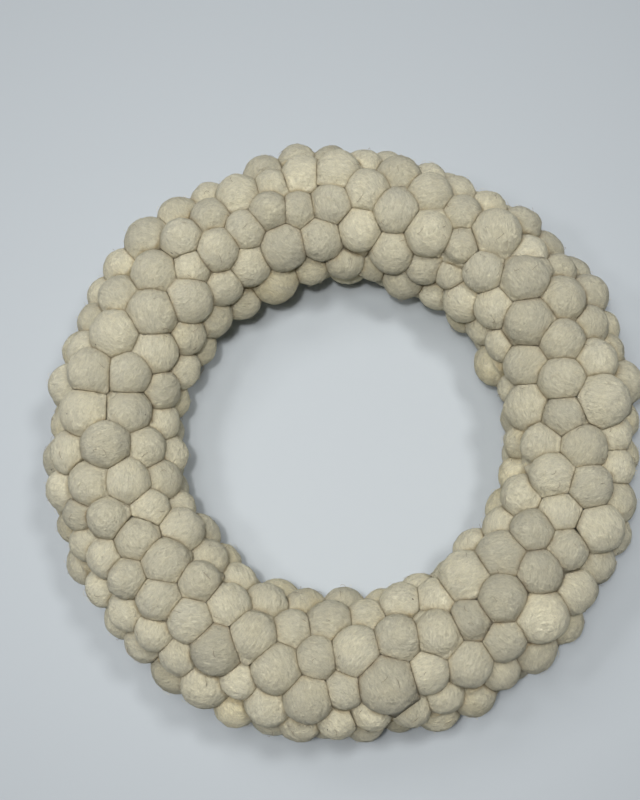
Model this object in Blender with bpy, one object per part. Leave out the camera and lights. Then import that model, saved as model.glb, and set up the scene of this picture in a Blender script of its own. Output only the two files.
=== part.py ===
"""A wreath of felt balls: wool balls pressed side by side all round a ring, which lies flat.

Units are metres, +Z is up, and the origin is at the middle of the base.
"""

import math

import bmesh
import bpy
import numpy as np
from mathutils import Vector

# Driving sizes
WREATH_DIAMETER = 0.2975
TUBE_DIAMETER = 0.0705
BALL_DIAMETER = 0.0222
SMALLEST_BALL = 0.0180
LARGEST_BALL = 0.0268
BALL_SPREAD = 0.0018
PRESSED_PITCH = 0.716
STANDING_PROUD = 0.0003
BALL_GAP = 0.0003

# How the balls are laid and settle
ROWS_ROUND_TUBE = 8
LAYING_UNEVENNESS = 0.0045
BIG_BALLS_PROUD = 0.6
HEIGHT_UNEVENNESS = 0.0012
LAYING_SEED = 12
SETTLING_STEPS = 240
SETTLING_REACH = 1.25
SETTLING_PUSH = 0.2

# How the balls are joined into pieces, and how finely each is faceted
SECTORS = 28
FIRM_CONTACT = 0.985
JOIN_DEPTH = 0.0008
BALL_SEGMENTS = 6
BALL_RINGS = 4
FACET_SWELL = 1.065
FLAT_CORNERS = 6
HIDDEN_BELOW = -0.5
POLE_WIDTH = 0.01
SHARP_ANGLE = math.radians(50)

# Worked out from the sizes
RING_RADIUS = (WREATH_DIAMETER - TUBE_DIAMETER) / 2
SEAT_RADIUS = (TUBE_DIAMETER - BALL_DIAMETER) / 2
RING_HEIGHT = TUBE_DIAMETER / 2 + STANDING_PROUD

FELT_COLOUR = (0.62, 0.57, 0.45)
FELT_TONE_STEP = 0.012
FELT_ROUGHNESS = 0.95


def lay_balls(chance):
    """Unevenly laid rows of balls: each one's angle along the ring, angle round the tube and radius."""
    laid = []
    for row in range(ROWS_ROUND_TUBE):
        round_tube = 2 * math.pi * (row + 0.5) / ROWS_ROUND_TUBE
        row_radius = RING_RADIUS + SEAT_RADIUS * math.cos(round_tube)
        count = round(2 * math.pi * row_radius / (BALL_DIAMETER * PRESSED_PITCH))
        for place in range(count):
            along_ring = 2 * math.pi * (place + 0.5 * (row % 2)) / count
            along_slip, round_slip = chance.normal(0, LAYING_UNEVENNESS, 2)
            diameter = np.clip(chance.normal(BALL_DIAMETER, BALL_SPREAD), SMALLEST_BALL, LARGEST_BALL)
            laid.append((along_ring + along_slip / row_radius,
                         round_tube + round_slip / SEAT_RADIUS, diameter / 2))
    return np.array(laid)


def ring_line_near(centres):
    """The nearest point of the ring's centre line to each ball's centre."""
    out = np.hypot(centres[:, 0], centres[:, 1])
    return np.column_stack((centres[:, 0] / out, centres[:, 1] / out, np.zeros(len(out)))) * RING_RADIUS


def settle_balls():
    """Centres and radii of the balls, once each has pushed its neighbours aside."""
    chance = np.random.default_rng(LAYING_SEED)
    along_ring, round_tube, radii = lay_balls(chance).T
    seats = SEAT_RADIUS + BIG_BALLS_PROUD * (radii - BALL_DIAMETER / 2)
    seats += chance.normal(0, HEIGHT_UNEVENNESS, len(radii))
    out = RING_RADIUS + SEAT_RADIUS * np.cos(round_tube)
    centres = np.column_stack((out * np.cos(along_ring), out * np.sin(along_ring),
                               SEAT_RADIUS * np.sin(round_tube)))
    reach = (radii[:, None] + radii[None, :]) * PRESSED_PITCH * SETTLING_REACH
    for _ in range(SETTLING_STEPS):
        apart = centres[:, None, :] - centres[None, :, :]
        distance = np.linalg.norm(apart, axis=2)
        np.fill_diagonal(distance, 1.0)
        push = np.clip(reach - distance, 0, None) / distance
        centres = centres + SETTLING_PUSH * (apart * push[:, :, None]).sum(axis=1)
        line = ring_line_near(centres)
        away = centres - line
        centres = line + away / np.linalg.norm(away, axis=1)[:, None] * seats[:, None]
    low = (centres - radii[:, None]).min(axis=0)
    high = (centres + radii[:, None]).max(axis=0)
    middle = (low + high) / 2
    return centres + np.array((-middle[0], -middle[1], RING_HEIGHT)), radii


def find_seams(centres, radii):
    """For each ball, its neighbours, each with the distance from the ball's centre to their seam."""
    seams = [{} for _ in radii]
    for one in range(len(radii)):
        for other in range(one + 1, len(radii)):
            distance = np.linalg.norm(centres[other] - centres[one])
            if distance < (radii[one] + radii[other]) * FACET_SWELL:
                to_seam = (distance ** 2 + radii[one] ** 2 - radii[other] ** 2) / (2 * distance)
                seams[one][other] = to_seam
                seams[other][one] = distance - to_seam
    return seams


def holds_firmly(one, other, radii, seams):
    """Whether two neighbours are pressed together far enough to be one piece."""
    return seams[one][other] + seams[other][one] < (radii[one] + radii[other]) * FIRM_CONTACT


def one_piece(balls, radii, seams):
    """The balls that hold on to the first one, each with the ball that it was joined to."""
    piece = {balls[0]: None}
    reached = [balls[0]]
    for ball in reached:
        for other in sorted(seams[ball], key=seams[ball].get):
            if other in balls and other not in piece and holds_firmly(ball, other, radii, seams):
                piece[other] = ball
                reached.append(other)
    return piece


def share_out(centres, radii, seams):
    """The balls of each piece: the upper or the under half of one sector of the ring."""
    homes = []
    for centre in centres:
        along_ring = math.atan2(centre[1], centre[0]) % (2 * math.pi)
        half = "upper" if centre[2] > RING_HEIGHT else "under"
        homes.append((half, int(along_ring / (2 * math.pi) * SECTORS)))
    for home in sorted(set(homes)):
        loose = [ball for ball, where in enumerate(homes) if where == home]
        pieces = []
        while loose:
            piece = one_piece(loose, radii, seams)
            pieces.append(piece)
            loose = [ball for ball in loose if ball not in piece]
        pieces.sort(key=len, reverse=True)
        for ball in [ball for piece in pieces[1:] for ball in piece]:
            outside = [other for other in seams[ball] if homes[other] != home]
            closest = min(outside, key=lambda other: seams[ball][other] / radii[ball])
            homes[ball] = homes[closest]
    return {home: [ball for ball, where in enumerate(homes) if where == home]
            for home in sorted(set(homes))}


def sphere_directions():
    """Directions from a faceted ball's centre to its corners, sparser below, where none shows."""
    ball = bmesh.new()
    bmesh.ops.create_uvsphere(ball, u_segments=BALL_SEGMENTS, v_segments=BALL_RINGS, radius=1)
    directions = [corner.co.copy() for corner in ball.verts
                  if corner.co.z > HIDDEN_BELOW or corner.co.xy.length < POLE_WIDTH]
    ball.free()
    return directions


def flat_corners(centre, radius):
    """Corners of the small flat spot where a low ball rests."""
    if centre.z >= radius:
        return []
    flat_radius = math.sqrt(radius ** 2 - centre.z ** 2)
    turns = [2 * math.pi * corner / FLAT_CORNERS for corner in range(FLAT_CORNERS)]
    return [Vector((flat_radius * math.cos(turn), flat_radius * math.sin(turn), -centre.z))
            for turn in turns]


def ball_corners(ball, joined_to, balls, seams, directions):
    """Corners of one ball, pressed flat against its neighbours and against the surface below."""
    centres, radii, outward = balls
    centre, radius = Vector(centres[ball]), radii[ball]
    to_crown = Vector(outward[ball]).to_track_quat("Z", "Y")
    corners = []
    for direction in directions:
        swell = 1.0 if direction.xy.length < POLE_WIDTH else FACET_SWELL
        corners.append(to_crown @ direction * radius * swell)
    walls = []
    for other, to_seam in seams[ball].items():
        towards = (Vector(centres[other]) - centre).normalized()
        if other in joined_to:
            corners.append(towards * (to_seam + JOIN_DEPTH))
        else:
            walls.append((towards, to_seam - BALL_GAP / 2))
    corners += flat_corners(centre, radius)
    pressed = []
    for corner in corners:
        kept = min([1.0] + [depth / corner.dot(towards) for towards, depth in walls
                            if corner.dot(towards) > depth])
        place = centre + corner * kept
        if place.z < 0:
            place = centre + corner * kept * (centre.z / (centre.z - place.z))
            place.z = 0.0
        pressed.append(place)
    return pressed


def ball_object(name, corners, collection):
    """A closed convex ball round its corners."""
    shape = bmesh.new()
    for corner in corners:
        shape.verts.new(corner)
    hull = bmesh.ops.convex_hull(shape, input=shape.verts)
    spare = set(hull["geom_interior"]) | set(hull["geom_unused"])
    bmesh.ops.delete(shape, geom=[item for item in spare if isinstance(item, bmesh.types.BMVert)],
                     context="VERTS")
    bmesh.ops.recalc_face_normals(shape, faces=shape.faces)
    mesh = bpy.data.meshes.new(name)
    shape.to_mesh(mesh)
    shape.free()
    ball = bpy.data.objects.new(name, mesh)
    collection.objects.link(ball)
    return ball


def felt_material(name, tone):
    """Undyed cream wool felt, one tone lighter or darker than the rest."""
    material = bpy.data.materials.new(name)
    material.use_nodes = True
    shader = material.node_tree.nodes["Principled BSDF"]
    colour = [part * (1 + tone) for part in FELT_COLOUR]
    shader.inputs["Base Color"].default_value = (*colour, 1)
    shader.inputs["Roughness"].default_value = FELT_ROUGHNESS
    shader.inputs["Metallic"].default_value = 0
    return material


def ball_cluster(name, piece, balls, seams, directions, collections):
    """The balls of one piece, each pressed into the one that it is joined to."""
    parts, joined = collections
    cluster = None
    for member, holder in piece.items():
        joined_to = {holder} | {other for other, held_by in piece.items() if held_by == member}
        corners = ball_corners(member, joined_to, balls, seams, directions)
        if cluster is None:
            cluster = ball_object(name, corners, parts)
            continue
        ball = ball_object(f"ball_{member:03d}", corners, joined)
        ball.hide_render = True
        ball.display_type = "WIRE"
        join = cluster.modifiers.new(ball.name, "BOOLEAN")
        join.operation = "UNION"
        join.solver = "EXACT"
        join.object = ball
    cluster.data.shade_smooth()
    cluster.data.set_sharp_from_angle(angle=SHARP_ANGLE)
    return cluster


def clear_scene():
    """Removes whatever the scene holds."""
    for item in list(bpy.data.objects):
        bpy.data.objects.remove(item, do_unlink=True)


def new_collection(name):
    """A collection linked to the scene."""
    collection = bpy.data.collections.new(name)
    bpy.context.scene.collection.children.link(collection)
    return collection


def build_wreath():
    """The whole wreath, as clusters of balls round the ring."""
    clear_scene()
    collections = new_collection("felt_ball_wreath"), new_collection("joined_balls")
    centres, radii = settle_balls()
    on_axis = centres - np.array((0, 0, RING_HEIGHT))
    balls = centres, radii, on_axis - ring_line_near(on_axis)
    seams = find_seams(centres, radii)
    directions = sphere_directions()
    for (half, sector), members in share_out(centres, radii, seams).items():
        name = f"balls_{half}_{sector + 1:02d}"
        piece = one_piece(members, radii, seams)
        cluster = ball_cluster(name, piece, balls, seams, directions, collections)
        tone = FELT_TONE_STEP * (sector % 3 - 1)
        cluster.data.materials.append(felt_material(f"felt_{half}_{sector + 1:02d}", tone))


build_wreath()
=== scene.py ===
"""A felt ball wreath lying flat: cream wool balls pressed side by side all round a ring.

Everything is in metres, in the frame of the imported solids: +Z is up, and the origin is at the middle
of the base.
"""

import math

import bmesh
import bpy
import numpy as np
from mathutils import Matrix, Vector, noise
from mathutils.kdtree import KDTree


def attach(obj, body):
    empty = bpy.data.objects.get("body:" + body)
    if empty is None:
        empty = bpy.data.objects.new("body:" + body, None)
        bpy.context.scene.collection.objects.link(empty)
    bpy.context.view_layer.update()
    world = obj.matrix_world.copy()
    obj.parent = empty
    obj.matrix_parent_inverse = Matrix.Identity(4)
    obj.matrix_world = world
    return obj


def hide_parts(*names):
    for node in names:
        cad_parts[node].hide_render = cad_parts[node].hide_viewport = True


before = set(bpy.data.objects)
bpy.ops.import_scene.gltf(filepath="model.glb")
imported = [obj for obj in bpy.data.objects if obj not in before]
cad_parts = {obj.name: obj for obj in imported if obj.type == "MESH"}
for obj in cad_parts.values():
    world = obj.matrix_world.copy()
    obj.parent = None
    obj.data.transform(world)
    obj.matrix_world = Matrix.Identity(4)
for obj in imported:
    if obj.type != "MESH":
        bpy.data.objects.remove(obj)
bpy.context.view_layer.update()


# Felt balls
# Each ball is carded cream wool, wetted and rolled until it felts into a firm, slightly lumpy ball.
# They are fixed one after another in rough rows round a ring that they hide, and each pushes its
# neighbours aside and goes flat where it touches them.

WREATH_DIAMETER = 0.2975
TUBE_DIAMETER = 0.0705
BALL_DIAMETER = 0.0222
SMALLEST_BALL = 0.0180
LARGEST_BALL = 0.0268
BALL_SPREAD = 0.0018
PRESSED_PITCH = 0.716
STANDING_PROUD = 0.0003
ROWS_ROUND_TUBE = 8
LAYING_UNEVENNESS = 0.0045
BIG_BALLS_PROUD = 0.6
HEIGHT_UNEVENNESS = 0.0012
LAYING_SEED = 12
SETTLING_STEPS = 240
SETTLING_REACH = 1.25
SETTLING_PUSH = 0.2

RING_RADIUS = (WREATH_DIAMETER - TUBE_DIAMETER) / 2
SEAT_RADIUS = (TUBE_DIAMETER - BALL_DIAMETER) / 2
RING_HEIGHT = TUBE_DIAMETER / 2 + STANDING_PROUD


def lay_balls(chance):
    """Unevenly laid rows of balls: each one's angle along the ring, angle round the tube and radius."""
    laid = []
    for row in range(ROWS_ROUND_TUBE):
        round_tube = 2 * math.pi * (row + 0.5) / ROWS_ROUND_TUBE
        row_radius = RING_RADIUS + SEAT_RADIUS * math.cos(round_tube)
        count = round(2 * math.pi * row_radius / (BALL_DIAMETER * PRESSED_PITCH))
        for place in range(count):
            along_ring = 2 * math.pi * (place + 0.5 * (row % 2)) / count
            along_slip, round_slip = chance.normal(0, LAYING_UNEVENNESS, 2)
            diameter = np.clip(chance.normal(BALL_DIAMETER, BALL_SPREAD), SMALLEST_BALL, LARGEST_BALL)
            laid.append((along_ring + along_slip / row_radius,
                         round_tube + round_slip / SEAT_RADIUS, diameter / 2))
    return np.array(laid)


def ring_line_near(centres):
    """The nearest point of the ring's centre line to each ball's centre."""
    out = np.hypot(centres[:, 0], centres[:, 1])
    return np.column_stack((centres[:, 0] / out, centres[:, 1] / out, np.zeros(len(out)))) * RING_RADIUS


def settle_balls():
    """Centres and radii of the balls, once each has pushed its neighbours aside."""
    chance = np.random.default_rng(LAYING_SEED)
    along_ring, round_tube, radii = lay_balls(chance).T
    seats = SEAT_RADIUS + BIG_BALLS_PROUD * (radii - BALL_DIAMETER / 2)
    seats += chance.normal(0, HEIGHT_UNEVENNESS, len(radii))
    out = RING_RADIUS + SEAT_RADIUS * np.cos(round_tube)
    centres = np.column_stack((out * np.cos(along_ring), out * np.sin(along_ring),
                               SEAT_RADIUS * np.sin(round_tube)))
    reach = (radii[:, None] + radii[None, :]) * PRESSED_PITCH * SETTLING_REACH
    for _ in range(SETTLING_STEPS):
        apart = centres[:, None, :] - centres[None, :, :]
        distance = np.linalg.norm(apart, axis=2)
        np.fill_diagonal(distance, 1.0)
        push = np.clip(reach - distance, 0, None) / distance
        centres = centres + SETTLING_PUSH * (apart * push[:, :, None]).sum(axis=1)
        line = ring_line_near(centres)
        away = centres - line
        centres = line + away / np.linalg.norm(away, axis=1)[:, None] * seats[:, None]
    low = (centres - radii[:, None]).min(axis=0)
    high = (centres + radii[:, None]).max(axis=0)
    middle = (low + high) / 2
    return centres + np.array((-middle[0], -middle[1], RING_HEIGHT)), radii


ball_centres, ball_radii = settle_balls()
ring_line = ring_line_near(ball_centres) + np.array((0, 0, RING_HEIGHT))
ball_outward = ball_centres - ring_line
ball_outward /= np.linalg.norm(ball_outward, axis=1)[:, None]


TOUCH_REACH = 1.12
HIDDEN_SIDE_SWELL, HIDDEN_SIDE_FROM = 0.40, 0.16
SEAM_GAP = 0.00001
SEAM_ROUNDING = 0.0006
SEAM_LEAN, SEAM_HEIGHT = 0.0016, 0.0075
SEAM_SHADE_REACH = 0.0009
LEAN_SEED = 5
WOOL_BRIDGE = 0.0014
BRIDGING_ROUNDS = 2
FLOOR_ROUNDING = 0.0008
LEAST_FACING_SEAM, LEAST_FACING_FLOOR = 0.05, 0.02
FINENESS, FINENESS_BELOW = 5, 4
FACES_FLOOR = -0.35
HIDDEN_BELOW = -0.1
LUMP_SIZE, LUMP_HEIGHT = 0.011, 0.00060
DENT_SIZE, DENT_HEIGHT = 0.0045, 0.00034
PUCKER_SIZE, PUCKER_HEIGHT = 0.0021, 0.00022
NOISE_SPAN = 50
CREASED_SHARE = 0.35
CREASE_WIDTH, CREASE_DEPTH = 0.00045, 0.00055
CREASE_LENGTH, CREASE_BEND = (0.25, 0.6), 0.5
CREASE_SPREAD, CREASE_TO_CROWN = (1, 1, 0.4), (0, 0, 1.2)
# Painted warm light: the balls at the sides of the tube are given a warmer tone, which leaves the tops
# greyer.
SIDE_WARM_LIGHT = 0.4
SHAPE_SEED = 40


def ball_template(fineness):
    """Directions and faces of a closed ball, whose hidden inner side is drawn to one point."""
    ball = bmesh.new()
    bmesh.ops.create_icosphere(ball, subdivisions=fineness, radius=1)
    hidden = [corner for corner in ball.verts if corner.co.z < HIDDEN_BELOW]
    bmesh.ops.delete(ball, geom=hidden, context="VERTS")
    rim = [edge for edge in ball.edges if edge.is_boundary]
    inner = ball.verts.new((0, 0, -1))
    for edge in rim:
        ball.faces.new((edge.verts[0], edge.verts[1], inner))
    bmesh.ops.recalc_face_normals(ball, faces=ball.faces)
    ball.verts.index_update()
    directions = np.array([corner.co for corner in ball.verts])
    faces = np.array([[corner.index for corner in face.verts] for face in ball.faces])
    ball.free()
    return directions, faces


def unevenness(points, size, offset):
    """Smooth noise at each point, about -1 to 1, with bumps of about the given size."""
    return np.array([noise.noise(Vector(point) / size + offset) for point in points])


def softly_least(one, other, rounding):
    """The lesser of two depths, with the corner between them rounded off."""
    near = np.clip(rounding - np.abs(one - other), 0, None) / rounding
    return np.minimum(one, other) - near * near * rounding / 4


def crease(directions, radius, chance):
    """The depth of one short fold, where the wool was lapped over itself as the ball was rolled."""
    middle = Vector(chance.normal(size=3) * CREASE_SPREAD + CREASE_TO_CROWN).normalized()
    across = middle.cross(Vector(chance.normal(size=3))).normalized()
    along = np.array(middle.cross(across))
    bend = chance.uniform(-CREASE_BEND, CREASE_BEND)
    length = chance.uniform(*CREASE_LENGTH)
    ahead = directions @ along
    aside = directions @ np.array(across) - bend * ahead ** 2
    facing = directions @ np.array(middle) > 0
    line = np.exp(-(aside * radius / CREASE_WIDTH) ** 2)
    return CREASE_DEPTH * facing * line * np.clip(1 - (ahead / length) ** 2, 0, None)


def lean_seams():
    """Centres and squared radii that lean a ball's seams under it or out over its neighbours.

    A seam turns about the line where it shows, so its place there stays about the same.
    """
    lean = np.random.default_rng(LEAN_SEED).normal(0, SEAM_LEAN, len(ball_radii))
    centres = ball_centres - ball_outward * lean[:, None]
    return centres, ball_radii ** 2 + lean ** 2 + 2 * lean * SEAM_HEIGHT


seam_centres, seam_squares = lean_seams()


def lumpy_ball(ball, directions, chance):
    """Which way each point of a rolled ball lies from its centre, and how far off before it is pressed."""
    centre, radius = ball_centres[ball], ball_radii[ball]
    turn = Vector(ball_outward[ball]).to_track_quat("Z", "Y").to_matrix()
    turn = turn @ Matrix.Rotation(chance.uniform(0, 2 * math.pi), 3, "Z")
    pointing = directions @ np.array(turn).T
    surface = centre + pointing * radius
    offset = Vector(chance.uniform(-NOISE_SPAN, NOISE_SPAN, 3))
    inward = np.clip(1 - pointing @ ball_outward[ball] / HIDDEN_SIDE_FROM, 0, 1)
    depth = radius * (1 + HIDDEN_SIDE_SWELL * inward * inward * (3 - 2 * inward))
    depth += LUMP_HEIGHT * unevenness(surface, LUMP_SIZE, offset)
    depth += DENT_HEIGHT * unevenness(surface, DENT_SIZE, offset)
    depth += PUCKER_HEIGHT * unevenness(surface, PUCKER_SIZE, offset)
    if chance.uniform() < CREASED_SHARE:
        depth -= crease(directions, radius, chance)
    return pointing, depth


def bridge_seams(ball, pointing, bare, touching):
    """The depths of a ball's points once loose wool has filled the top of its seams."""
    depth = bare
    for _ in range(BRIDGING_ROUNDS):
        surface = ball_centres[ball] + pointing * depth[:, None]
        filled = bare.copy()
        for other in touching:
            beside = np.linalg.norm(surface - ball_centres[other], axis=1) - ball_radii[other]
            near = np.clip(WOOL_BRIDGE - np.abs(beside - depth + bare), 0, None)
            filled += near ** 2 / (4 * WOOL_BRIDGE)
        depth = filled
    return depth


def press_at_seams(ball, pointing, depth, touching):
    """The depths of a ball's points once pressed flat at its seams, and how near each is to one."""
    seam = np.zeros(len(pointing))
    for other in touching:
        towards = seam_centres[other] - seam_centres[ball]
        span = np.linalg.norm(towards)
        towards /= span
        to_seam = (span ** 2 + seam_squares[ball] - seam_squares[other]) / (2 * span)
        to_seam += (seam_centres[ball] - ball_centres[ball]) @ towards
        facing = np.clip(pointing @ towards, LEAST_FACING_SEAM, None)
        depth = softly_least(depth, (to_seam - SEAM_GAP) / facing, SEAM_ROUNDING)
        clear = np.clip(to_seam - depth * (pointing @ towards), 0, None)
        seam = np.maximum(seam, np.exp(-clear / SEAM_SHADE_REACH))
    return depth, seam


def shape_ball(ball, directions, chance):
    """Points of one pressed ball, and how near each is to a seam: 0 clear of it, 1 in it."""
    centre = ball_centres[ball]
    pointing, depth = lumpy_ball(ball, directions, chance)
    apart = np.linalg.norm(ball_centres - centre, axis=1)
    touching = np.flatnonzero((apart < (ball_radii + ball_radii[ball]) * TOUCH_REACH) & (apart > 0))
    depth = bridge_seams(ball, pointing, depth, touching)
    depth, seam = press_at_seams(ball, pointing, depth, touching)
    falling = np.clip(-pointing[:, 2], LEAST_FACING_FLOOR, None)
    depth = softly_least(depth, centre[2] / falling, FLOOR_ROUNDING)
    points = centre + pointing * depth[:, None]
    points[:, 2] = np.clip(points[:, 2], 0, None)
    return points, seam


def nodes_of_balls():
    """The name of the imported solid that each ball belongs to: the one with a corner nearest its crown."""
    corners = [(corner.co, name) for name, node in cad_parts.items() for corner in node.data.vertices]
    tree = KDTree(len(corners))
    for index, (place, _) in enumerate(corners):
        tree.insert(place, index)
    tree.balance()
    crowns = ball_centres + ball_outward * ball_radii[:, None]
    return [corners[tree.find(crown)[1]][1] for crown in crowns]


def felt_cluster(name, balls, fine, coarse, chance):
    """One piece of several balls, which keeps each point's seam shade, tone (random, plus painted warm light
    on the side balls) and place in the wool.
    """
    points, seams, tones_and_side_light, pales, wool_places, corners, corner_count = [], [], [], [], [], [], 0
    for ball in balls:
        directions, faces = coarse if ball_outward[ball][2] < FACES_FLOOR else fine
        corners.append(faces + corner_count)
        corner_count += len(directions)
        shaped, seam = shape_ball(ball, directions, chance)
        points.append(shaped)
        shaped_balls[ball] = shaped
        seams.append(seam)
        # A ball's tone is random, plus painted warm light on the balls at the sides, which leaves the tops
        # greyer.
        tone_and_side_light = chance.uniform() * (1 - SIDE_WARM_LIGHT) + SIDE_WARM_LIGHT * (1 - max(ball_outward[ball][2], 0))
        tones_and_side_light.append(np.full(len(directions), tone_and_side_light))
        pales.append(np.full(len(directions), chance.uniform()))
        rolled = np.array(Vector(chance.normal(size=3)).to_track_quat("Z", "Y").to_matrix())
        wool_places.append((shaped - ball_centres[ball]) @ rolled + chance.uniform(-1, 1, 3))
    mesh = bpy.data.meshes.new(name)
    mesh.from_pydata(np.concatenate(points), [], np.concatenate(corners))
    mesh.shade_smooth()
    for label, kind, field, values in (("seam", "FLOAT", "value", seams), ("tone_and_side_light", "FLOAT", "value", tones_and_side_light),
                                       ("pale", "FLOAT", "value", pales),
                                       ("wool_place", "FLOAT_VECTOR", "vector", wool_places)):
        stored = mesh.attributes.new(label, kind, "POINT")
        stored.data.foreach_set(field, np.concatenate(values).astype(np.float32).ravel())
    cluster = bpy.data.objects.new(name, mesh)
    bpy.context.scene.collection.objects.link(cluster)
    return cluster


def group_socket(group, name, kind, way, value=None):
    """A named input or output of a node group."""
    socket = group.interface.new_socket(name, in_out=way, socket_type=kind)
    if value is not None:
        socket.default_value = value


def maths(tree, operation, one, other=None, clamp=False):
    """A Math node on two sockets or numbers, as its output socket."""
    node = tree.nodes.new("ShaderNodeMath")
    node.operation = operation
    node.use_clamp = clamp
    for slot, value in zip(node.inputs, (one, other)):
        if isinstance(value, bpy.types.NodeSocket):
            tree.links.new(value, slot)
        elif value is not None:
            slot.default_value = value
    return node.outputs[0]


def stretched(tree, value, low, high):
    """A value spread from between low and high to between 0 and 1."""
    return maths(tree, "MULTIPLY", maths(tree, "SUBTRACT", value, low), 1 / (high - low), clamp=True)


def noise_value(tree, coordinates, scale, detail, roughness, distortion=0.0):
    """A noise texture's value."""
    node = tree.nodes.new("ShaderNodeTexNoise")
    tree.links.new(coordinates, node.inputs["Vector"])
    node.inputs["Scale"].default_value = scale
    node.inputs["Detail"].default_value = detail
    node.inputs["Roughness"].default_value = roughness
    node.inputs["Distortion"].default_value = distortion
    return node.outputs["Fac"]


WOOL_WINDING = (1, 1, 2.4)
MATTING_SCALE, NAP_SCALE = 330, 900
STRAND_SCALES_AND_TWISTS = ((300, 1.6), (470, 2.2), (640, 2.6))
STRAND_THINNESS = 24.0


def wool_fibre_group():
    """Matted wool: Height of the nap, and Grain, the wool's mottling with painted shade in the hollows of the
    nap, lighter where fibres lie on top.
    """
    group = bpy.data.node_groups.new("wool_fibres", "ShaderNodeTree")
    group_socket(group, "Place", "NodeSocketVector", "INPUT")
    group_socket(group, "Strand Strength", "NodeSocketFloat", "INPUT", 0.5)
    group_socket(group, "Height", "NodeSocketFloat", "OUTPUT")
    group_socket(group, "Grain And Nap Shade", "NodeSocketFloat", "OUTPUT")
    start = group.nodes.new("NodeGroupInput")
    end = group.nodes.new("NodeGroupOutput")
    place = start.outputs["Place"]
    wound = group.nodes.new("ShaderNodeVectorMath")
    wound.operation = "MULTIPLY"
    group.links.new(place, wound.inputs[0])
    wound.inputs[1].default_value = WOOL_WINDING
    wound = wound.outputs[0]
    matting = stretched(group, noise_value(group, wound, MATTING_SCALE, 4, 0.6, 0.5), 0.3, 0.7)
    nap = stretched(group, noise_value(group, wound, NAP_SCALE, 3, 0.65, 0.8), 0.3, 0.7)
    strands = None
    for scale, twist in STRAND_SCALES_AND_TWISTS:
        wander = noise_value(group, wound, scale, 1, 0.5, twist)
        line = maths(group, "ABSOLUTE", maths(group, "SUBTRACT", wander, 0.5))
        line = maths(group, "SUBTRACT", 1.0, maths(group, "MULTIPLY", line, STRAND_THINNESS), clamp=True)
        strands = line if strands is None else maths(group, "MAXIMUM", strands, line)
    raised = maths(group, "MULTIPLY", strands, start.outputs["Strand Strength"])
    height = maths(group, "ADD", maths(group, "MULTIPLY", matting, 0.6), maths(group, "MULTIPLY", nap, 0.3))
    height = maths(group, "ADD", height, maths(group, "MULTIPLY", raised, 0.25))
    # The grain is the wool's mottling together with painted shade in the hollows of the nap.
    grain_and_nap_shade = maths(group, "ADD", maths(group, "MULTIPLY", matting, 0.4), maths(group, "MULTIPLY", nap, 0.4))
    grain_and_nap_shade = maths(group, "ADD", grain_and_nap_shade, maths(group, "MULTIPLY", raised, 0.3))
    group.links.new(height, end.inputs["Height"])
    group.links.new(grain_and_nap_shade, end.inputs["Grain And Nap Shade"])
    return group


SPECK_WOBBLE_SCALE = 700
SPECK_WOBBLE = (0.0012, 0.0012, 0.0012)


def wool_speck_group():
    """Bits of straw and seed left in the wool: a mask of small, thinly scattered specks."""
    group = bpy.data.node_groups.new("wool_specks", "ShaderNodeTree")
    group_socket(group, "Place", "NodeSocketVector", "INPUT")
    group_socket(group, "Speck Scale", "NodeSocketFloat", "INPUT", 90.0)
    group_socket(group, "Speck Size", "NodeSocketFloat", "INPUT", 0.04)
    group_socket(group, "Speck Share", "NodeSocketFloat", "INPUT", 0.2)
    group_socket(group, "Mask", "NodeSocketFloat", "OUTPUT")
    start = group.nodes.new("NodeGroupInput")
    end = group.nodes.new("NodeGroupOutput")
    wobble = group.nodes.new("ShaderNodeTexNoise")
    wobble.inputs["Scale"].default_value = SPECK_WOBBLE_SCALE
    wobble.inputs["Detail"].default_value = 2
    group.links.new(start.outputs["Place"], wobble.inputs["Vector"])
    shift = group.nodes.new("ShaderNodeVectorMath")
    shift.operation = "MULTIPLY_ADD"
    group.links.new(wobble.outputs["Color"], shift.inputs[0])
    shift.inputs[1].default_value = SPECK_WOBBLE
    group.links.new(start.outputs["Place"], shift.inputs[2])
    cells = group.nodes.new("ShaderNodeTexVoronoi")
    group.links.new(shift.outputs[0], cells.inputs["Vector"])
    group.links.new(start.outputs["Speck Scale"], cells.inputs["Scale"])
    apart = group.nodes.new("ShaderNodeSeparateColor")
    group.links.new(cells.outputs["Color"], apart.inputs[0])
    size = maths(group, "MULTIPLY", start.outputs["Speck Size"], maths(group, "ADD", apart.outputs[1], 0.4))
    inside = maths(group, "LESS_THAN", cells.outputs["Distance"], size)
    chosen = maths(group, "LESS_THAN", apart.outputs[0], start.outputs["Speck Share"])
    group.links.new(maths(group, "MULTIPLY", inside, chosen), end.inputs["Mask"])
    return group


def mixed(tree, share, one, other):
    """Two colours mixed by a share, as the output socket."""
    node = tree.nodes.new("ShaderNodeMix")
    node.data_type = "RGBA"
    for slot, value in ((node.inputs[0], share), (node.inputs[6], one), (node.inputs[7], other)):
        if isinstance(value, bpy.types.NodeSocket):
            tree.links.new(value, slot)
        else:
            slot.default_value = value
    return node.outputs[2]


CREAM = (0.825, 0.770, 0.555, 1)
GREY_CREAM = (0.750, 0.718, 0.555, 1)
WARM_CREAM = (0.815, 0.735, 0.475, 1)
# Painted shade: the felt is coloured browner in its seams, where shade falls between the balls.
PAINTED_SEAM_SHADE = (0.420, 0.310, 0.135, 1)
# Painted shade, deeper and browner, down in the seams of a few of the darkest balls.
DEEP_SEAM_SHADE = (0.230, 0.150, 0.075, 1)
STRAW_BROWN = (0.120, 0.095, 0.060, 1)
FELT_ROUGHNESS = 0.93
FELT_SHEEN, SHEEN_ROUGHNESS = 0.25, 0.5
NAP_DEPTH = 0.0009
STRAND_STRENGTH = 0.6
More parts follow.
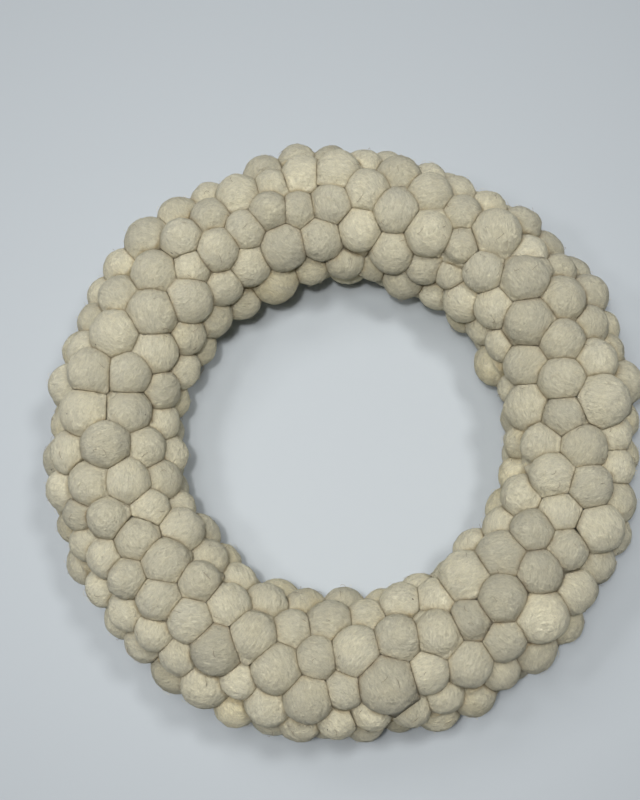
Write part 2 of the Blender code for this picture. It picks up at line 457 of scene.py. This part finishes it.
# How far the grain darkens the felt: its mottling and painted shade in the hollows of the nap.
GRAIN_AND_SHADE_CONTRAST, GRAIN_AND_SHADE_DARKEST = 0.55, 0.62
PALE_CONTRAST, PALE_DARKEST = 0.32, 0.84
PATCH_SCALE, PATCH_SHARE = 90, 0.6
# Balls of high tone, most of them at the sides where warm light is painted, turn warm cream.
WARM_FROM_TONE = 0.7
# The painted shade in the seams is stronger in some patches than in others.
SEAM_SHADE_PATCH_SCALE, SEAM_SHADE_PATCH_SHARE, LEAST_SEAM_SHADE = 160, 0.6, 0.15
# Which balls get the deeper painted seam shade, the darkest few, and how narrowly it keeps to the bottom of
# the seam.
DEEP_SHADE_SHARE, FULLY_DEEP_SHADE_SHARE = 0.12, 0.06
DEEP_SHADE_NARROWNESS = 1.5
STRAW_SCALE, STRAW_SIZE, STRAW_SHARE, STRAW_COVER = 120, 0.05, 0.10, 0.8


def stored_value(tree, name, kind="Fac"):
    """A value that every point of a cluster keeps, as the output socket."""
    node = tree.nodes.new("ShaderNodeAttribute")
    node.attribute_name = name
    return node.outputs[kind]


def felt_colour(tree, place, grain_and_nap_shade, straw):
    """Cream, greyer and warmer in patches, with painted warm light on the side balls, painted shade in the
    hollows of its grain, and painted shade in its seams that is deepest in the seams of a few of the darkest
    balls.
    """
    tone_and_side_light, pale, seam = (stored_value(tree, name) for name in ("tone_and_side_light", "pale", "seam"))
    patches = stretched(tree, noise_value(tree, place, PATCH_SCALE, 3, 0.55, 0.4), 0.3, 0.7)
    # Greyer in patches and on balls of low tone: the tops, away from the painted warm light on the sides,
    # come out greyer.
    cream_share = maths(tree, "ADD", maths(tree, "MULTIPLY", patches, PATCH_SHARE),
                        maths(tree, "MULTIPLY", tone_and_side_light, 1 - PATCH_SHARE))
    colour = mixed(tree, cream_share, GREY_CREAM, CREAM)
    # Warmer cream in patches of balls of high tone: partly random, partly painted warm light on the side
    # balls.
    warmth_and_side_light = maths(tree, "MULTIPLY", stretched(tree, tone_and_side_light, WARM_FROM_TONE, 1.0), patches)
    colour = mixed(tree, warmth_and_side_light, colour, WARM_CREAM)
    # The grain darkens the colour: mottling and painted shade in the hollows of the nap.
    shade = maths(tree, "ADD", maths(tree, "MULTIPLY", grain_and_nap_shade, GRAIN_AND_SHADE_CONTRAST), GRAIN_AND_SHADE_DARKEST)
    bleached = maths(tree, "ADD", maths(tree, "MULTIPLY", pale, PALE_CONTRAST), PALE_DARKEST)
    shaded = tree.nodes.new("ShaderNodeVectorMath")
    shaded.operation = "SCALE"
    tree.links.new(colour, shaded.inputs[0])
    tree.links.new(maths(tree, "MULTIPLY", shade, bleached), shaded.inputs["Scale"])
    # Painted shade in the seams, stronger in some patches than in others.
    seam_shade_strength = stretched(tree, noise_value(tree, place, SEAM_SHADE_PATCH_SCALE, 3, 0.6, 0.5), 0.35, 0.68)
    seam_shade_strength = maths(tree, "ADD", maths(tree, "MULTIPLY", seam_shade_strength, SEAM_SHADE_PATCH_SHARE), LEAST_SEAM_SHADE)
    colour = mixed(tree, maths(tree, "MULTIPLY", seam, seam_shade_strength), shaded.outputs[0], PAINTED_SEAM_SHADE)
    # Deeper painted shade down in the seams of the darkest few balls.
    deep_seam_shade_share = stretched(tree, pale, DEEP_SHADE_SHARE, FULLY_DEEP_SHADE_SHARE)
    deep_seam_shade_share = maths(tree, "MULTIPLY", deep_seam_shade_share, maths(tree, "POWER", seam, DEEP_SHADE_NARROWNESS))
    colour = mixed(tree, maths(tree, "MULTIPLY", deep_seam_shade_share, seam_shade_strength), colour, DEEP_SEAM_SHADE)
    return mixed(tree, maths(tree, "MULTIPLY", straw, STRAW_COVER), colour, STRAW_BROWN)


def cream_felt(fibres, specks):
    """Undyed wool felt: matt, with its nap as a bump and specks of straw in it."""
    material = bpy.data.materials.new("cream_felt")
    material.use_nodes = True
    tree = material.node_tree
    shader = tree.nodes["Principled BSDF"]
    place = stored_value(tree, "wool_place", "Vector")
    wool = tree.nodes.new("ShaderNodeGroup")
    wool.node_tree = fibres
    tree.links.new(place, wool.inputs["Place"])
    wool.inputs["Strand Strength"].default_value = STRAND_STRENGTH
    bits = tree.nodes.new("ShaderNodeGroup")
    bits.node_tree = specks
    tree.links.new(place, bits.inputs["Place"])
    bits.inputs["Speck Scale"].default_value = STRAW_SCALE
    bits.inputs["Speck Size"].default_value = STRAW_SIZE
    bits.inputs["Speck Share"].default_value = STRAW_SHARE
    colour = felt_colour(tree, place, wool.outputs["Grain And Nap Shade"], bits.outputs["Mask"])
    tree.links.new(colour, shader.inputs["Base Color"])
    bump = tree.nodes.new("ShaderNodeBump")
    bump.inputs["Strength"].default_value = 1.0
    bump.inputs["Distance"].default_value = NAP_DEPTH
    tree.links.new(wool.outputs["Height"], bump.inputs["Height"])
    tree.links.new(bump.outputs["Normal"], shader.inputs["Normal"])
    shader.inputs["Roughness"].default_value = FELT_ROUGHNESS
    shader.inputs["Specular IOR Level"].default_value = 0.15
    shader.inputs["Sheen Weight"].default_value = FELT_SHEEN
    shader.inputs["Sheen Roughness"].default_value = SHEEN_ROUGHNESS
    return material


felt = cream_felt(wool_fibre_group(), wool_speck_group())
shape_chance = np.random.default_rng(SHAPE_SEED)
fine_ball, coarse_ball = ball_template(FINENESS), ball_template(FINENESS_BELOW)
ball_nodes = nodes_of_balls()
shaped_balls = {}
for node_name in sorted(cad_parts):
    members = [ball for ball, home in enumerate(ball_nodes) if home == node_name]
    cluster = felt_cluster("felt_" + node_name, members, fine_ball, coarse_ball, shape_chance)
    cluster.data.materials.append(felt)
    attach(cluster, "root")
    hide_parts(node_name)


# Loose wool fibres
# Rolling never catches every fibre. Fine pale hairs stand a little off the felt all over the side that
# shows and curl along it, and here and there a coarser brown hair lies among them.

HAIRS_A_BALL, BROWN_HAIR_SHARE = 17, 0.14
HAIR_RADIUS, BROWN_HAIR_RADIUS = 0.000055, 0.000075
HAIR_LENGTH = 0.0012, 0.0068
HAIR_LIFT = 0.0002, 0.0019
HAIR_ROOT_DEPTH = 0.00015
HAIR_CURL, CURLED_SHORTER = 0.8, 0.25
HAIR_BENDS, HAIR_SIDES = 6, 3
HAIRS_SHOW_ABOVE = 0.25
HAIRS_FACE_UP = -0.55
PALE_HAIR, PALE_HAIR_SHADE = (0.84, 0.78, 0.60, 1), (0.56, 0.48, 0.32, 1)
BROWN_HAIR, BROWN_HAIR_SHADE = (0.34, 0.25, 0.15, 1), (0.16, 0.11, 0.07, 1)
HAIR_SEED = 11


def hair_path(ball, chance):
    """Points along one hair, which starts in the felt of a ball and curls along over it."""
    shaped = shaped_balls[ball]
    root = shaped[chance.integers(len(shaped))]
    pointing = root - ball_centres[ball]
    depth = np.linalg.norm(pointing)
    pointing /= depth
    if pointing @ ball_outward[ball] < HAIRS_SHOW_ABOVE:
        return None
    ahead = np.cross(pointing, chance.normal(size=3))
    ahead /= np.linalg.norm(ahead)
    aside = np.cross(pointing, ahead)
    length = chance.uniform(*HAIR_LENGTH)
    lift = chance.uniform(*HAIR_LIFT)
    curl = chance.normal(0, HAIR_CURL)
    droop = chance.uniform(0, 1)
    path = []
    for step in np.linspace(0, 1, HAIR_BENDS):
        turned = curl * step
        run = length * step / depth * (1 - CURLED_SHORTER * abs(turned))
        place = pointing + run * (ahead * math.cos(turned) + aside * math.sin(turned))
        raised = lift * (math.sin(math.pi * step) * droop + step * (1 - droop)) - HAIR_ROOT_DEPTH * (1 - step)
        path.append(ball_centres[ball] + place / np.linalg.norm(place) * (depth + raised))
    return np.array(path)


def hair_tube(path, radius):
    """Points and faces of a thin closed tube along a hair's path, drawn out to a point at its end."""
    along = np.gradient(path, axis=0)
    along /= np.linalg.norm(along, axis=1)[:, None]
    up = np.cross(along, (0.31, 0.52, 0.79))
    up /= np.linalg.norm(up, axis=1)[:, None]
    side = np.cross(along, up)
    points, faces = [], []
    for step in range(len(path) - 1):
        for corner in range(HAIR_SIDES):
            turn = 2 * math.pi * corner / HAIR_SIDES
            points.append(path[step] + radius * (up[step] * math.cos(turn) + side[step] * math.sin(turn)))
    points.append(path[-1])
    rings = len(path) - 1
    for step in range(rings - 1):
        for corner in range(HAIR_SIDES):
            here, there = step * HAIR_SIDES + corner, step * HAIR_SIDES + (corner + 1) % HAIR_SIDES
            faces.append((here, there, there + HAIR_SIDES))
            faces.append((here, there + HAIR_SIDES, here + HAIR_SIDES))
    last = (rings - 1) * HAIR_SIDES
    for corner in range(HAIR_SIDES):
        faces.append((last + corner, last + (corner + 1) % HAIR_SIDES, len(points) - 1))
    faces.append(tuple(reversed(range(HAIR_SIDES))))
    return points, faces


def hair_material(name, pale, dark, roughness):
    """A wool fibre's finish, lighter and darker along its length."""
    material = bpy.data.materials.new(name)
    material.use_nodes = True
    tree = material.node_tree
    shader = tree.nodes["Principled BSDF"]
    place = tree.nodes.new("ShaderNodeTexCoord").outputs["Object"]
    streaks = stretched(tree, noise_value(tree, place, 800, 2, 0.5), 0.35, 0.65)
    tree.links.new(mixed(tree, streaks, dark, pale), shader.inputs["Base Color"])
    shader.inputs["Roughness"].default_value = roughness
    shader.inputs["Specular IOR Level"].default_value = 0.2
    return material


def loose_fibres(name, balls, chance):
    """One piece of all the hairs of a cluster's balls."""
    points, faces, finishes = [], [], []
    for ball in balls:
        if ball_outward[ball][2] < HAIRS_FACE_UP:
            continue
        for _ in range(HAIRS_A_BALL):
            path = hair_path(ball, chance)
            if path is None:
                continue
            brown = chance.uniform() < BROWN_HAIR_SHARE
            tube, skin = hair_tube(path, BROWN_HAIR_RADIUS if brown else HAIR_RADIUS)
            faces += [tuple(corner + len(points) for corner in face) for face in skin]
            finishes += [int(brown)] * len(skin)
            points += tube
    mesh = bpy.data.meshes.new(name)
    mesh.from_pydata([tuple(point) for point in points], [], faces)
    mesh.shade_smooth()
    mesh.polygons.foreach_set("material_index", finishes)
    hairs = bpy.data.objects.new(name, mesh)
    bpy.context.scene.collection.objects.link(hairs)
    return hairs


pale_wool = hair_material("pale_wool_hair", PALE_HAIR, PALE_HAIR_SHADE, 0.7)
brown_wool = hair_material("brown_wool_hair", BROWN_HAIR, BROWN_HAIR_SHADE, 0.6)
hair_chance = np.random.default_rng(HAIR_SEED)
for node_name in sorted(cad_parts):
    members = [ball for ball, home in enumerate(ball_nodes) if home == node_name]
    hairs = loose_fibres("loose_wool_" + node_name, members, hair_chance)
    hairs.data.materials.append(pale_wool)
    hairs.data.materials.append(brown_wool)
    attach(hairs, "root")


# Table, light and camera
# The wreath lies on a plain pale table. Soft panels on the right, on the left, beyond it and above
# it light it, with a small lamp overhead, and the camera looks down on it from a little in front.

TABLE_HALF = 1.6
TABLE_COLOUR = (0.50, 0.546, 0.588, 1)
TABLE_ROUGHNESS = 0.6
PANEL_LIGHT, LAMP_LIGHT = (1.0, 0.99, 0.97), (1.0, 0.98, 0.95)
ROOM_LIGHT, ROOM_LIGHT_STRENGTH = (0.90, 0.95, 1.0, 1), 0.05


def pale_table():
    """A plain pale table top."""
    table = bmesh.new()
    bmesh.ops.create_grid(table, x_segments=1, y_segments=1, size=TABLE_HALF)
    mesh = bpy.data.meshes.new("table_top")
    table.to_mesh(mesh)
    table.free()
    top = bpy.data.objects.new("table_top", mesh)
    bpy.context.scene.collection.objects.link(top)
    material = bpy.data.materials.new("pale_table")
    material.use_nodes = True
    shader = material.node_tree.nodes["Principled BSDF"]
    shader.inputs["Base Color"].default_value = TABLE_COLOUR
    shader.inputs["Roughness"].default_value = TABLE_ROUGHNESS
    mesh.materials.append(material)


def soft_lamp(name, tilt, heading, away, size, power, colour):
    """A square soft lamp that faces the wreath from a tilt off the vertical and a heading from +X."""
    tilt, heading = math.radians(tilt), math.radians(heading)
    towards = Vector((math.sin(tilt) * math.cos(heading), math.sin(tilt) * math.sin(heading), math.cos(tilt)))
    data = bpy.data.lights.new(name, "AREA")
    data.size = size
    data.energy = power
    data.color = colour
    lamp = bpy.data.objects.new(name, data)
    lamp.location = towards * away
    lamp.rotation_euler = towards.to_track_quat("Z", "Y").to_euler()
    lamp.visible_camera = False
    bpy.context.scene.collection.objects.link(lamp)


pale_table()
soft_lamp("right_panel", 20, 18, 1.3, 0.20, 4.3, PANEL_LIGHT)
soft_lamp("left_panel", 25, 172, 0.85, 0.12, 0.80, PANEL_LIGHT)
soft_lamp("far_panel", 30, 122, 1.3, 0.42, 2.9, PANEL_LIGHT)
soft_lamp("ceiling_panel", 5, 190, 0.85, 0.22, 1.75, PANEL_LIGHT)
soft_lamp("overhead_lamp", 6, 225, 0.85, 0.04, 2.0, LAMP_LIGHT)
world = bpy.data.worlds.new("room_light")
world.use_nodes = True
background = world.node_tree.nodes["Background"]
background.inputs["Color"].default_value = ROOM_LIGHT
background.inputs["Strength"].default_value = ROOM_LIGHT_STRENGTH
bpy.context.scene.world = world
bpy.context.scene.view_settings.view_transform = "Standard"

PICTURE_HEIGHT = 800
SENSOR = 36.0
FOCAL_PIXELS = 1100
CAMERA_DISTANCE = 0.5535
CAMERA_ELEVATION = math.radians(79)
CAMERA_ROLL = math.radians(-10.9)
LOOKED_AT = Vector((-0.0074, 0.0176, 0.034))

backward = Vector((0, -math.cos(CAMERA_ELEVATION), math.sin(CAMERA_ELEVATION)))
level = Vector((1, 0, 0))
upward = backward.cross(level)
right = level * math.cos(CAMERA_ROLL) + upward * math.sin(CAMERA_ROLL)
above = upward * math.cos(CAMERA_ROLL) - level * math.sin(CAMERA_ROLL)
lens = bpy.data.cameras.new("camera")
lens.sensor_width = SENSOR
lens.lens = FOCAL_PIXELS * SENSOR / PICTURE_HEIGHT
camera = bpy.data.objects.new("camera", lens)
camera.matrix_world = Matrix.Translation(LOOKED_AT + backward * CAMERA_DISTANCE) @ Matrix(
    (right, above, backward)).transposed().to_4x4()
bpy.context.scene.collection.objects.link(camera)
bpy.context.scene.camera = camera

bpy.context.view_layer.update()
